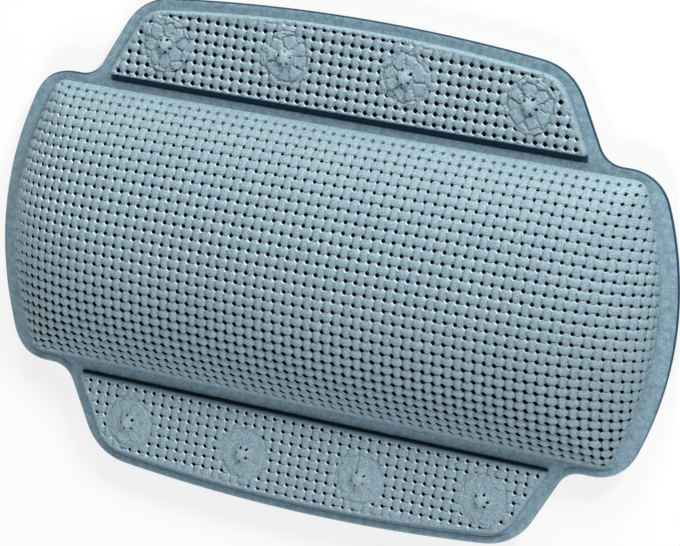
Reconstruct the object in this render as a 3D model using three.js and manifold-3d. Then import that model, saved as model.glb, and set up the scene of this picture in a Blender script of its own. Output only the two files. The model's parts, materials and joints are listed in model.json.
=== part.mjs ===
// Cushioned bath pillow: a stuffed foam-vinyl bolster between two fold-out flaps with suction cups.
// Millimetres. +X runs along the bolster, +Y towards the upper flap, +Z up from the cups' rims to the crown.
import * as THREE from 'three';
import { mergeVertices } from 'three/addons/utils/BufferGeometryUtils.js';
import Module from 'manifold-3d';

const wasm = await Module();
wasm.setup();

// Sheets
const sheetThickness = 0.9; // front and back sheet where they are welded flat
const foamThickness = 4.5; // embossed foam of the front sheet where it isn't welded
const clearance = 0.3; // between pieces that meet

// Bolster
const seamHalfWidth = 64; // centre line to the long weld
const seamCornerX = 143; // middle to the corners of the end welds
const seamEndBow = 14; // how far an end weld bows out at its middle
const seamRound = 8; // length of edge taken up by each rounded corner of the weld
const crownHeight = 31; // crown above the weld margin
const crownDroop = 1.5; // how much lower the crown is at the ends of its ridge
const flankPower = 1.44; // power of the cosine that shapes the long flanks, 1 being an ellipse
const endPower = 1; // the same for the two ends, which are fuller
const cornerFade = 3; // power by which the weld's squarer corners fade out towards the crown
const bellyDepth = 7; // how far the back sheet swells out behind the stuffing
const fillingInset = 0.9; // stuffing in from the foam, all round

// Weld margin round the bolster
const longMargin = 3.8;
const endMargin = 6;
const endMarginBow = 16; // bow of the margin's outer edge at the ends
const marginRound = 14; // the same for the margin

// Flaps, measured outwards from the fold line
const flapInnerHalf = 124.2; // half length where a flap's side meets the fold line
const flapOuterHalf = 104.5; // half length at the outer corners
const flapCornerReach = 38.1; // fold line to the outer corners
const flapBow = 6.5; // bow of the outer edge
const flapRound = 15;
const flareLength = 3; // hollow fillet where a flap's side runs into the margin
const flareRise = 0.8;

// Raised foam pad on each flap
const padGap = 1.5; // fold line to the pad's inner edge
const padSideMargin = 6.1;
const padOuterMargin = 5;
const padInnerRound = 2.5;
const padOuterRound = 8;
const padEdgeRound = 1.6; // bead round the pad's top edge

// Pits of the pads' basket weave, every other one in each row standing for all
const pitPitch = { across: 9.2, along: 4.23 };
const pitRadius = 1.6; // middle to corner
const pitDepth = 1.8;
const pitLand = 0.8; // flat foam left round a pit

// Suction cups
const cupInner = { x: 29, reach: 22.2 }; // places on a flap: from the middle, and from the fold line
const cupOuter = { x: 88.3, reach: 19.2 };
const cupHeight = 7.8; // rim to collar
const cupRadius = 14;
const cupRimWidth = 1.6; // flat ring that seals
const cupWall = 1.5;
const cupLip = 0.8; // height of the rim's outer edge
const collarRadius = 5;
const collarHeight = 1.2;
const neckRadius = 3.2;
const headRadius = 9.8;
const headThickness = 1.5;
const nubRadius = 4;
const nubHeight = 1.2;

// Bump that each cup's head makes on the front
const dishDepth = 0.8;
const dishLand = 0.8; // slope on each side of the dish
const bumpRise = 1.0;

// Facets
const domeSteps = 8;
const bellySteps = 5;
const weldEdgeSteps = 6; // along each edge of the weld
const flapEdgeSteps = 8; // along a flap's bowed outer edge
const cornerSteps = 4;
const arcSteps = 12;
const cupSides = 18;
const bumpSides = 16;
const hollowShares = [0, 0.3, 0.55, 0.8]; // shares of a cup's radius where its bell is drawn, inside
const bellShares = [0.85, 0.6, 0.35]; // and outside
const smallestCap = 1; // square millimetres

const foldY = seamHalfWidth + longMargin + clearance + sheetThickness;
const weldZ = cupHeight + clearance + sheetThickness; // where front and back sheet meet
const weldTop = weldZ + sheetThickness;
const padTop = weldZ + foamThickness;
const ridgeHalf = seamCornerX + seamEndBow - seamHalfWidth;

// Closed outline from corners in counter-clockwise order. A corner may be rounded, and the edge that
// leaves it may bow outwards and be divided into steps.
function outline(corners) {
  const count = corners.length;
  const edges = corners.map((corner, i) => {
    const start = new THREE.Vector2(corner.x, corner.y);
    const end = new THREE.Vector2(corners[(i + 1) % count].x, corners[(i + 1) % count].y);
    const along = end.clone().sub(start);
    const outward = new THREE.Vector2(along.y, -along.x).normalize();
    const pull = start.clone().lerp(end, 0.5).addScaledVector(outward, 2 * (corner.bow ?? 0));
    return new THREE.QuadraticBezierCurve(start, pull, end);
  });
  const points = [];
  edges.forEach((edge, i) => {
    const next = edges[(i + 1) % count];
    const steps = corners[i].steps ?? 1;
    const cut = corners[(i + 1) % count].round ?? 0;
    const from = (corners[i].round ?? 0) / edge.getLength();
    const to = 1 - cut / edge.getLength();
    const last = cut > 0 ? steps : steps - 1;
    for (let k = 0; k <= last; k++) points.push(edge.getPointAt(from + ((to - from) * k) / steps));
    if (cut > 0) {
      const nextStart = next.getPointAt(cut / next.getLength());
      const turn = new THREE.QuadraticBezierCurve(edge.getPointAt(to), next.v0, nextStart);
      for (let k = 1; k < cornerSteps; k++) points.push(turn.getPoint(k / cornerSteps));
    }
  });
  return points;
}

// Closed body through rings of equal count, each counter-clockwise from above, with a flat cap on the
// first ring facing up and on the last facing down. A ring that has closed to a line needs no cap.
function loft(rings) {
  const count = rings[0].length;
  const points = rings.flat();
  const indices = [];
  for (let r = 0; r + 1 < rings.length; r++) {
    for (let k = 0; k < count; k++) {
      const [a, b] = [r * count + k, r * count + ((k + 1) % count)];
      const [c, d] = [a + count, b + count];
      const shorter = points[a].distanceTo(points[d]) < points[b].distanceTo(points[c]);
      if (shorter) indices.push(a, c, d, a, d, b);
      else indices.push(a, c, b, b, c, d);
    }
  }
  const cap = (ring) => {
    const flat = ring.map((p) => new THREE.Vector2(p.x, p.y));
    return THREE.ShapeUtils.area(flat) < smallestCap ? [] : THREE.ShapeUtils.triangulateShape(flat, []);
  };
  const lastStart = (rings.length - 1) * count;
  for (const [a, b, c] of cap(rings[0])) indices.push(a, b, c);
  for (const [a, b, c] of cap(rings.at(-1))) indices.push(lastStart + a, lastStart + c, lastStart + b);
  const geometry = new THREE.BufferGeometry();
  geometry.setFromPoints(points);
  geometry.setIndex(indices);
  return geometry;
}

const atHeight = (points, z) => points.map((p) => new THREE.Vector3(p.x, p.y, z));

// Closed geometry as a solid for joining and cutting, and back again.
function toSolid(geometry) {
  const bare = geometry.clone();
  bare.deleteAttribute('normal');
  bare.deleteAttribute('uv');
  const merged = mergeVertices(bare);
  const index = merged.index.array;
  const triVerts = [];
  for (let i = 0; i < index.length; i += 3) {
    const [a, b, c] = index.slice(i, i + 3);
    if (a !== b && b !== c && c !== a) triVerts.push(a, b, c);
  }
  return new wasm.Manifold(new wasm.Mesh({
    numProp: 3,
    vertProperties: new Float32Array(merged.attributes.position.array),
    triVerts: new Uint32Array(triVerts),
  }));
}

function toGeometry(solid) {
  const mesh = solid.getMesh();
  const geometry = new THREE.BufferGeometry();
  geometry.setAttribute('position', new THREE.BufferAttribute(new Float32Array(mesh.vertProperties), 3));
  geometry.setIndex(new THREE.BufferAttribute(new Uint32Array(mesh.triVerts), 1));
  return geometry;
}

// Body of revolution about Z from a profile of [radius, height] that starts and ends on the axis.
function turned(profile, sides) {
  const points = profile.map(([r, z]) => new THREE.Vector2(r, z));
  return new THREE.LatheGeometry(points, sides).rotateX(Math.PI / 2);
}

function extruded(shape, z, depth) {
  return new THREE.ExtrudeGeometry(shape, { depth, bevelEnabled: false, curveSegments: arcSteps }).translate(0, 0, z);
}

// Bolster: rings between its ridge and its weld
function bolsterCorners(halfWidth, cornerX, bow, round) {
  return [
    { x: -cornerX, y: -halfWidth, round, steps: weldEdgeSteps },
    { x: cornerX, y: -halfWidth, round, bow, steps: weldEdgeSteps },
    { x: cornerX, y: halfWidth, round, steps: weldEdgeSteps },
    { x: -cornerX, y: halfWidth, round, bow, steps: weldEdgeSteps },
  ];
}

const seam = outline(bolsterCorners(seamHalfWidth, seamCornerX, seamEndBow, seamRound));
const marginEdge = outline(
  bolsterCorners(seamHalfWidth + longMargin, seamCornerX + endMargin, endMarginBow, marginRound),
);

const crownAt = (x) => crownHeight - crownDroop * Math.sin((Math.PI / 2) * (x / ridgeHalf)) ** 2;

// Ring at a share of the way from the ridge to the weld drawn in by an inset, at a height that may
// change along the ridge and with the share of a place that is flank, not end. Its ends are round near
// the ridge and take the weld's corners on the way out.
function bolsterRing(share, inset, heightAt) {
  return seam.map((weld) => {
    const ridge = new THREE.Vector2(THREE.MathUtils.clamp(weld.x, -ridgeHalf, ridgeHalf), 0);
    const across = weld.clone().sub(ridge);
    const reach = THREE.MathUtils.lerp(seamHalfWidth, across.length(), share ** cornerFade) - inset;
    const place = ridge.clone().addScaledVector(across.normalize(), reach * share);
    return new THREE.Vector3(place.x, place.y, heightAt(ridge.x, across.y ** 2));
  });
}

// Dome from its crown down to its weld, with sloping flanks and fuller ends.
function domeRings(base, inset, crownLoss) {
  return Array.from({ length: domeSteps + 1 }, (_, k) => {
    const angle = (Math.PI / 2) * (k / domeSteps);
    const cosine = Math.max(Math.cos(angle), 0);
    return bolsterRing(Math.sin(angle), inset, (x, flank) => {
      const power = THREE.MathUtils.lerp(endPower, flankPower, flank);
      return base + (crownAt(x) - crownLoss) * cosine ** power;
    });
  });
}

// Shallow swell of the back, from its lowest part up to the weld.
function bellyRings(base, inset) {
  return Array.from({ length: bellySteps + 1 }, (_, k) => {
    const share = k / bellySteps;
    return bolsterRing(share, inset, () => base - bellyDepth * (1 - share * share));
  });
}

// Front foam over the bolster: a domed shell, open below, with its weld margin.
function bolsterCover() {
  const outside = domeRings(weldTop, 0, 0);
  const inside = domeRings(weldZ, foamThickness, foamThickness - sheetThickness).reverse();
  const shell = loft([...outside, atHeight(marginEdge, weldTop), atHeight(marginEdge, weldZ), ...inside]);
  return toGeometry(toSolid(shell));
}

// Back sheet with its swell and weld margin.
function backSheet() {
  const inside = bellyRings(weldZ, foamThickness);
  const outside = bellyRings(weldZ - sheetThickness, foamThickness).reverse();
  const underside = atHeight(marginEdge, weldZ - sheetThickness);
  return toGeometry(toSolid(loft([...inside, atHeight(marginEdge, weldZ), underside, ...outside])));
}

// Stuffing that fills the space between them.
function bolsterFilling() {
  const inset = foamThickness + fillingInset;
  const top = domeRings(weldZ + clearance, inset, foamThickness - sheetThickness + 2 * clearance);
  const bottom = bellyRings(weldZ + clearance, inset).reverse();
  return toGeometry(toSolid(loft([...top, ...bottom.slice(1)])));
}

// Flaps, in a frame on the fold line with +Y outwards
const sideSlope = (flapInnerHalf - flapOuterHalf) / flapCornerReach;
const flapHalfAt = (reach) => flapInnerHalf - sideSlope * reach;
const hingeHalf = flapInnerHalf + flareLength;

const flapEdge = outline([
  { x: -hingeHalf, y: 0 },
  { x: hingeHalf, y: 0 },
  { x: flapHalfAt(flareRise), y: flareRise, round: flareLength },
  { x: flapOuterHalf, y: flapCornerReach, round: flapRound, bow: flapBow, steps: flapEdgeSteps },
  { x: -flapOuterHalf, y: flapCornerReach, round: flapRound },
  { x: -flapHalfAt(flareRise), y: flareRise, round: flareLength },
]);

const cupPlaces = [
  [-cupOuter.x, cupOuter.reach],
  [-cupInner.x, cupInner.reach],
  [cupInner.x, cupInner.reach],
  [cupOuter.x, cupOuter.reach],
];

// Rounded nose of a flap's sheet on the fold line, above or below the weld plane.
function foldNose(side) {
  const nose = new THREE.Shape();
  nose.moveTo(sheetThickness, 0);
  nose.lineTo(sheetThickness, side * sheetThickness);
  nose.lineTo(0, side * sheetThickness);
  nose.absarc(0, 0, sheetThickness, (side * Math.PI) / 2, side * Math.PI, side < 0);
  const alongX = new THREE.Matrix4().makeBasis(
    new THREE.Vector3(0, 1, 0),
    new THREE.Vector3(0, 0, 1),
    new THREE.Vector3(1, 0, 0),
  );
  return extruded(nose, -hingeHalf, 2 * hingeHalf).applyMatrix4(alongX).translate(0, 0, weldZ);
}

const padSideInset = padSideMargin * Math.hypot(1, sideSlope);
const padCornerReach = flapCornerReach - padOuterMargin;
const padHalfAt = (reach) => flapHalfAt(reach) - padSideInset;

// Raised foam pad with a rounded bead along its top edge.
function padGeometry() {
  const edge = (inset) => {
    const inner = padGap + inset;
    const outer = padCornerReach - inset;
    const innerHalf = padHalfAt(inner) - inset;
    const outerHalf = padHalfAt(outer) - inset;
    return outline([
      { x: -innerHalf, y: inner, round: padInnerRound },
      { x: innerHalf, y: inner, round: padInnerRound },
      { x: outerHalf, y: outer, round: padOuterRound, bow: flapBow, steps: flapEdgeSteps },
      { x: -outerHalf, y: outer, round: padOuterRound },
    ]);
  };
  const bead = [Math.PI / 2, Math.PI / 4, 0].map((angle) => {
    const inset = padEdgeRound * (1 - Math.cos(angle));
    return atHeight(edge(inset), padTop - padEdgeRound * (1 - Math.sin(angle)));
  });
  return loft([...bead, atHeight(edge(0), weldZ)]);
}

const headZ = weldZ + clearance; // underside of a cup's head, inside the foam
const headTop = headZ + headThickness;

// Pocket in the foam for a cup's head and nub.
function headPocket() {
  return turned([
    [0, weldZ - foamThickness],
    [headRadius + clearance, weldZ - foamThickness],
    [headRadius + clearance, headTop + clearance],
    [nubRadius + clearance, headTop + clearance],
    [nubRadius + clearance, headTop + nubHeight + clearance],
    [0, headTop + nubHeight + clearance],
  ], bumpSides);
}

// Ring-shaped dish that the fused foam sinks to round a nub.
function bumpDish() {
  const inner = nubRadius + dishLand;
  const outer = headRadius + dishLand;
  return turned([
    [inner, padTop],
    [inner + dishLand, padTop - dishDepth],
    [outer - dishLand, padTop - dishDepth],
    [outer, padTop],
    [outer, padTop + foamThickness],
    [inner, padTop + foamThickness],
    [inner, padTop],
  ], bumpSides);
}

// Foam standing over a cup's nub.
function bumpNub() {
  const radius = nubRadius + dishLand;
  return turned([
    [0, padTop - dishDepth],
    [radius, padTop - dishDepth],
    [radius, padTop],
    [radius * Math.SQRT1_2, padTop + bumpRise * Math.SQRT1_2],
    [0, padTop + bumpRise],
  ], bumpSides);
}

// Places of the weave's pits on a pad, in rows set half a pitch apart, clear of its edge and its bumps.
function pitPlaces() {
  const room = pitRadius + pitLand;
  const outerHalf = padHalfAt(padCornerReach);
  const rows = Math.floor((padCornerReach + flapBow - padGap) / pitPitch.along);
  const columns = Math.ceil(padHalfAt(padGap) / pitPitch.across);
  const places = [];
  for (let row = 1; row <= rows; row++) {
    const y = padGap + row * pitPitch.along;
    for (let column = -columns; column <= columns; column++) {
      const x = (column + (row % 2) / 2) * pitPitch.across;
      const outerEdge = padCornerReach + flapBow * (1 - (x / outerHalf) ** 2) - padEdgeRound;
      const sideEdge = padHalfAt(y) - padEdgeRound;
      const clear = cupPlaces.every(([a, b]) => Math.hypot(x - a, y - b) > headRadius + dishLand + room);
      if (clear && y - room > padGap + padEdgeRound && y + room < outerEdge && Math.abs(x) + room < sideEdge) {
        places.push([x, y]);
      }
    }
  }
  return places;
}

// Four-cornered pit, sharp at its bottom.
function weavePit() {
  return turned([
    [0, padTop - pitDepth],
    [pitRadius, padTop],
    [pitRadius, padTop + pitDepth],
    [0, padTop + pitDepth],
  ], 4);
}

// Front foam of a flap: margin, woven pad, bumps and the pockets behind them.
function flapCover() {
  const sheet = extruded(new THREE.Shape(flapEdge), weldZ, sheetThickness);
  let solid = toSolid(sheet).add(toSolid(foldNose(1))).add(toSolid(padGeometry()));
  for (const [x, y] of cupPlaces) {
    solid = solid.subtract(toSolid(bumpDish().translate(x, y, 0)));
    solid = solid.add(toSolid(bumpNub().translate(x, y, 0)));
    solid = solid.subtract(toSolid(headPocket().translate(x, y, 0)));
  }
  const pits = pitPlaces().map(([x, y]) => toSolid(weavePit().translate(x, y, 0)));
  return toGeometry(solid.subtract(wasm.Manifold.union(pits)));
}

// Back sheet of a flap, punched for the cups' necks.
function flapBacking() {
  const shape = new THREE.Shape(flapEdge);
  for (const [x, y] of cupPlaces) {
    shape.holes.push(new THREE.Path().absarc(x, y, neckRadius + clearance, 0, 2 * Math.PI));
  }
  const sheet = extruded(shape, weldZ - sheetThickness, sheetThickness);
  return toGeometry(toSolid(sheet).add(toSolid(foldNose(-1))));
}

// One-piece suction cup: bell, collar, neck, head and nub.
function suctionCup() {
  const hollowRadius = cupRadius - cupRimWidth;
  const hollowTop = cupHeight - collarHeight - cupWall;
  const bellTop = cupHeight - collarHeight;
  const hollow = hollowShares.map((share) => [
    hollowRadius * share,
    hollowTop * Math.sqrt(1 - share * share),
  ]);
  const bell = bellShares.map((share) => [
    collarRadius + (cupRadius - collarRadius) * share,
    cupLip + (bellTop - cupLip) * Math.sqrt(1 - share * share),
  ]);
  return toGeometry(toSolid(turned([
    ...hollow,
    [hollowRadius, 0],
    [cupRadius, 0],
    [cupRadius, cupLip],
    ...bell,
    [collarRadius, bellTop],
    [collarRadius, cupHeight],
    [neckRadius, cupHeight],
    [neckRadius, headZ],
    [headRadius, headZ],
    [headRadius, headTop],
    [nubRadius, headTop],
    [nubRadius, headTop + nubHeight / 2],
    [0, headTop + nubHeight],
  ], cupSides)));
}

// Materials
const foamVinyl = () => new THREE.MeshStandardMaterial({ color: 0x93b3bf, roughness: 0.55, metalness: 0 });
const backVinyl = () => new THREE.MeshStandardMaterial({ color: 0x6f919f, roughness: 0.5, metalness: 0 });
const stuffing = () => new THREE.MeshStandardMaterial({ color: 0xe9e7df, roughness: 1, metalness: 0 });
const cupVinyl = () => new THREE.MeshStandardMaterial({ color: 0xc3d3d8, roughness: 0.25, metalness: 0 });

function mesh(name, geometry, material) {
  const piece = new THREE.Mesh(geometry, material);
  piece.name = name;
  return piece;
}

// A flap with its pieces, cups numbered from -X to +X as they lie.
function flap(name, turn) {
  const group = new THREE.Group();
  group.add(mesh(`${name}_flap_cover`, flapCover(), foamVinyl()));
  group.add(mesh(`${name}_flap_backing`, flapBacking(), backVinyl()));
  cupPlaces.forEach(([x, y], i) => {
    const number = turn === 0 ? i + 1 : cupPlaces.length - i;
    const cup = mesh(`${name}_cup_${number}`, suctionCup(), cupVinyl());
    cup.position.set(x, y, 0);
    group.add(cup);
  });
  group.position.y = turn === 0 ? foldY : -foldY;
  group.rotation.z = turn;
  return group;
}

const pillow = new THREE.Group();
pillow.add(mesh('bolster_cover', bolsterCover(), foamVinyl()));
pillow.add(mesh('bolster_filling', bolsterFilling(), stuffing()));
pillow.add(mesh('back_sheet', backSheet(), backVinyl()));
pillow.add(flap('upper', 0));
pillow.add(flap('lower', Math.PI));

export default pillow;
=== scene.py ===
"""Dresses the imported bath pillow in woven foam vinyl, welded sheet and soft suction cups."""

import json
import math

import bmesh
import bpy
import numpy as np
from mathutils import Matrix, Vector
from mathutils.kdtree import KDTree


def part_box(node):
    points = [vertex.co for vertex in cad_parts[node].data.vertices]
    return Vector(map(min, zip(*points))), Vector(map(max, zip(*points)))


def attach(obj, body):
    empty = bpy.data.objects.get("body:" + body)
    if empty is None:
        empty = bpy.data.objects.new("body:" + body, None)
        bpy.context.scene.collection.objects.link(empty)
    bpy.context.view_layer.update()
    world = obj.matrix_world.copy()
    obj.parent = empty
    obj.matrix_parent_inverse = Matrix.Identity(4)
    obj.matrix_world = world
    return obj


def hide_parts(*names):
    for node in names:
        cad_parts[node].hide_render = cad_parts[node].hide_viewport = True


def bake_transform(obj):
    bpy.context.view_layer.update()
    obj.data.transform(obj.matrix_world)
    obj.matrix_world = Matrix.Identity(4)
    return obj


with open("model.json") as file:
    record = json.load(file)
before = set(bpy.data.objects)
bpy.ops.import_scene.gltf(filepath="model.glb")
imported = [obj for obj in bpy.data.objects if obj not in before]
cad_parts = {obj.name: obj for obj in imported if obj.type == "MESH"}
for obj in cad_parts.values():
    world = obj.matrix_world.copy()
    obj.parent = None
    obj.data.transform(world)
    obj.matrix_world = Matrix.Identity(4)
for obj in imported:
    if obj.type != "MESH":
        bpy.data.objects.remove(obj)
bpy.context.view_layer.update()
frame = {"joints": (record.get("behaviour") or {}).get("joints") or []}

# Every size below is in millimetres
MM = 0.001

# Degrees between faces above which an edge is sharp
RIM_ANGLE = 42.0
SHEET_ANGLE = 50.0
CUP_ANGLE = 40.0

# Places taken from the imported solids
weld_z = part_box("bolster_cover")[0].z / MM
crown_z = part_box("bolster_cover")[1].z / MM
fold_y = frame["joints"][0]["pos_m"][1] / MM
back_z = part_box("upper_flap_backing")[0].z / MM
sheet_thickness = weld_z - back_z
weld_top = weld_z + sheet_thickness

# Bolster
SEAM_HALF_WIDTH = 64.0
SEAM_CORNER_X = 143.0
SEAM_END_BOW = 14.0
SEAM_ROUND = 5.0
SEAM_STEP = 1.0
CROWN_DROOP = 1.5
FLANK_POWER = 0.72
END_POWER = 0.5
CORNER_FADE = 3
FULL_ROWS_X = 134.0  # rows run beside the long seams this far from the middle
BELLY_DEPTH = 7.0
BELLY_RINGS = 16
BELLY_MIDDLE = 0.01  # size of its last ring as a share of the seam
crown_height = crown_z - weld_top
ridge_half = SEAM_CORNER_X + SEAM_END_BOW - SEAM_HALF_WIDTH

# Lines across the dome that its rows are measured on, and how its share is found
RIDGE_STATIONS = 40
END_STATIONS = 180
STATION_POINTS = 160
SLOPE_REACH = 0.05
SHARE_ROUNDS = 12
GIRTH_SLACK = 1e-6
TINY_SQUARE = 1e-9

# Outline of the welded sheets
MARGIN_CORNER_X = 149.0
MARGIN_HALF_WIDTH = 68.4
MARGIN_END_BOW = 16.0
MARGIN_ROUND = 14.0
MARGIN_STEP = 1.3
FLAP_INNER_HALF = 124.2
FLAP_OUTER_HALF = 104.5
FLAP_CORNER_REACH = 38.1
FLAP_BOW = 6.5
FLAP_ROUND = 15.0
FLAP_FILLET = 8.0

# Raised pads, measured outwards from the fold line
PAD_GAP = 1.5
PAD_HEIGHT = 4.5
PAD_SIDE_MARGIN = 6.1
PAD_OUTER_MARGIN = 5.0
PAD_INNER_ROUND = 2.5
PAD_OUTER_ROUND = 8.0
PAD_EDGE_ROUND = 1.6
PAD_EDGE_STEP = 0.25
PAD_BEAD = 2.0
PAD_BEAD_RISE = (0.6, 1.1)  # shares of the bead's width between which the weave starts
INNER_EDGE_SLACK = 0.01
INNER_WALL_SLACK = 0.05
INNER_WALL_SHADE = 0.54
pad_top = weld_z + PAD_HEIGHT

# Suction cups, and the round bosses that their heads make on the pads
CUP_PLACES = ((-88.3, 19.2), (-29.0, 22.2), (29.0, 22.2), (88.3, 19.2))
CUP_RADIUS = 14.0
CUP_HEIGHT = 7.8
CUP_RIM = 1.6
CUP_LIP = ((-0.3, 0.0), (0.0, 0.25), (0.0, 0.7))  # past the cup's radius, height
CUP_WALL = 1.5
CUP_SECTORS = 64
HOLLOW_STEPS = 14
BELL_FOOT = 0.8
BELL_START = 0.12
BELL_STEPS = 12
COLLAR_RADIUS = 5.0
COLLAR_HEIGHT = 1.2
COLLAR_BEVEL = 0.2
NECK_RADIUS = 3.2
HEAD_RADIUS = 9.8
HEAD_THICKNESS = 1.5
HEAD_CLEARANCE = 0.3
BOSS_RADIUS = 12.2
NUB_RADIUS = 4.6

# Weave: its pitch, and where it is deep, where it has painted highlights and where it has painted shade
BOLSTER_COLUMN_PITCH = 4.78
BOLSTER_COLUMN_SHIFT = -1.54
BOLSTER_ROWS = 29
GIRTH_STEPS = 300
PAD_COLUMN_PITCH = 4.73
PAD_ROW_PITCH = 4.8
WEAVE_DEPTH = 2.1
WEAVE_RISE = (0.1, 1.2)  # heights above the weld between which the bolster's weave deepens
PAINTED_HIGHLIGHT_HEIGHTS = (3.0, 12.0)  # heights between which the painted highlight on its holes' rims sets in
LOWER_SIDE = (-5.0, -40.0)  # places across between which the painted shade in its holes grows toward the lower weld
LOWER_SIDE_SHADE = 0.12
MERGE_DISTANCE = 0.002

# How far the bolster's holes are open: beside a long seam and over how many rows, then by place along
UPPER_SEAM_OPENING = (0.55, 13)
LOWER_SEAM_OPENING = (1.3, 10)
END_OPENINGS = ((-165.0, -110.0, 110.0, 165.0), (1.4, 1.05, 1.0, 0.8))
WIDEST_OPENING = 1.45
FULL_OPENINGS = (0.35, 1.0)  # cells are flat beside holes that are less open, and full beside others

# Holes and cells
HOLE_DIAGONAL = 0.84  # reach of a hole between its corners as a share of that at its corners
THROAT_DEPTH = 0.5  # share of the depth at which a hole's bevelled rim ends
PAINTED_HIGHLIGHT_FACING = (0.3, -0.7)  # throats get a painted highlight on the side that faces away from their slant, toward the lamps
HOLE_SLANT = 0.16  # how far a throat lies off its rim's middle, up and to the right
SLANT_TURN = math.pi / 4
GROOVE_HALF = 0.24
CELL_CROWN = 0.7  # share of a cell that is its nearly flat top
CELL_CROWN_DROP = 0.2
WIDE_BULGE = 0.7
TALL_BULGE = 0.6
CLOSED_SPREAD = 0.4  # size of a hole that is pressed shut
BULGE_AT_HOLE = 0.5  # share of a bulge that is left where a line meets a hole
RIGHT, UP, LEFT, DOWN = 0, 4, 8, 12  # of a hole's 16 points, those where a groove runs into it

# Rim and throat radius of a hole, then as shares of the depth how far a cell's edges fall below its middle
# and the grooves between the cells below those
BOLSTER_WEAVE = (1.6, 1.25, 0.27, 0.26)
UPPER_PAD_WEAVE = (1.65, 1.4, 0.36, 0.2)
LOWER_PAD_WEAVE = (1.5, 1.12, 0.2, 0.26)

# Shift of a pad's weave along the pad, and its first row of holes in from the pad's edge
UPPER_PAD_SHIFT = (1.95, 2.2)
LOWER_PAD_SHIFT = (1.46, 2.2)


def smoothstep(low, high, value):
    share = np.clip((value - low) / (high - low), 0.0, 1.0)
    return share * share * (3.0 - 2.0 * share)


def lengths_along(points):
    """Distance of each point of an open line from its start."""
    steps = np.linalg.norm(np.diff(points, axis=0), axis=1)
    return np.concatenate(([0.0], np.cumsum(steps)))


def along(points, distances):
    """Places at the given distances along an open line."""
    lengths = lengths_along(points)
    return np.stack([np.interp(distances, lengths, points[:, k]) for k in range(points.shape[1])], axis=1)


def bezier(start, pull, end, count):
    share = np.linspace(0.0, 1.0, count)[:, None]
    return (1 - share) ** 2 * start + 2 * share * (1 - share) * pull + share**2 * end


EDGE_SAMPLES = 300
CORNER_SAMPLES = 60


def outline(corners, step):
    """Closed counter-clockwise line through corners of (x, y, round, bow of the edge that follows)."""
    edges = []
    for k, (x, y, _, bow) in enumerate(corners):
        start = np.array([x, y])
        end = np.array(corners[(k + 1) % len(corners)][:2], float)
        run = end - start
        outward = np.array([run[1], -run[0]]) / np.linalg.norm(run)
        edges.append(bezier(start, (start + end) / 2 + outward * 2 * bow, end, EDGE_SAMPLES))
    pieces = []
    for k, edge in enumerate(edges):
        after = edges[(k + 1) % len(edges)]
        cut = corners[(k + 1) % len(corners)][2]
        first = corners[k][2]
        last = lengths_along(edge)[-1] - cut
        count = max(2, math.ceil((last - first) / step))
        pieces.append(along(edge, np.linspace(first, last, count + 1)[:-1]))
        if cut > 0:
            turn = bezier(along(edge, [last])[0], after[0], along(after, [cut])[0], CORNER_SAMPLES)
            count = max(4, math.ceil(lengths_along(turn)[-1] / step))
            pieces.append(along(turn, np.linspace(0.0, lengths_along(turn)[-1], count + 1)[:-1]))
    return np.concatenate(pieces)


def both_halves(corners):
    """Corners, then the same turned half round."""
    return [*corners, *((-x, -y, *rest) for x, y, *rest in corners)]


def inward_normals(ring):
    run = np.roll(ring, -1, axis=0) - np.roll(ring, 1, axis=0)
    run /= np.linalg.norm(run, axis=1)[:, None]
    return np.stack([-run[:, 1], run[:, 0]], axis=1)


def place_object(name, data):
    piece = bpy.data.objects.new(name, data)
    bpy.context.scene.collection.objects.link(piece)
    return piece


def make_object(name, points, faces, **values):
    """Mesh object from millimetres, smooth, with named values on its points."""
    mesh = bpy.data.meshes.new(name)
    mesh.from_pydata((np.asarray(points, float) * MM).tolist(), [], faces)
    for label, numbers in values.items():
        column = mesh.attributes.new(label, "FLOAT", "POINT")
        column.data.foreach_set("value", np.asarray(numbers, np.float32))
    mesh.shade_smooth()
    mesh.validate()
    return place_object(name, mesh)


def open_mesh(piece):
    """A piece's mesh for editing, without its loose points."""
    mesh = bmesh.new()
    mesh.from_mesh(piece.data)
    bmesh.ops.delete(mesh, geom=[v for v in mesh.verts if not v.link_faces], context="VERTS")
    return mesh


def write_mesh(mesh, data):
    """Writes an edited mesh, with its faces turned outward."""
    bmesh.ops.recalc_face_normals(mesh, faces=mesh.faces)
    mesh.to_mesh(data)
    mesh.free()


def next_round(numbers):
    return np.roll(numbers, -1, axis=-1)


def ring_quads(numbers):
    """Faces between closed rings of point numbers."""
    after = next_round(numbers)
    return np.stack([numbers[:-1], after[:-1], after[1:], numbers[1:]], axis=-1).reshape(-1, 4).tolist()


class PointList:
    """Points of a weave, each of (across, up, depth, painted highlight, throat)."""

    def __init__(self):
        self.blocks = []

    def add(self, across, up, depth, wear=0.0, throat=0.0):
        """Keeps an array of points and gives their numbers in the same shape."""
        values = np.broadcast_arrays(across, up, depth, wear, throat)
        start = sum(len(block) for block in self.blocks)
        self.blocks.append(np.stack(values, axis=-1).reshape(-1, len(values)))
        return start + np.arange(values[0].size).reshape(values[0].shape)

    def all(self):
        return np.concatenate(self.blocks)


def line_ends():
    """How far the bulging lines that meet a hole draw its points aside, across and up."""
    across, up = np.zeros(16), np.zeros(16)
    for beside in (-1, 0, 1):
        across[UP + beside] = -BULGE_AT_HOLE * WIDE_BULGE
        across[DOWN + beside] = BULGE_AT_HOLE * WIDE_BULGE
        up[RIGHT + beside] = BULGE_AT_HOLE * TALL_BULGE
        up[LEFT + beside] = -BULGE_AT_HOLE * TALL_BULGE
    return across, up


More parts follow.
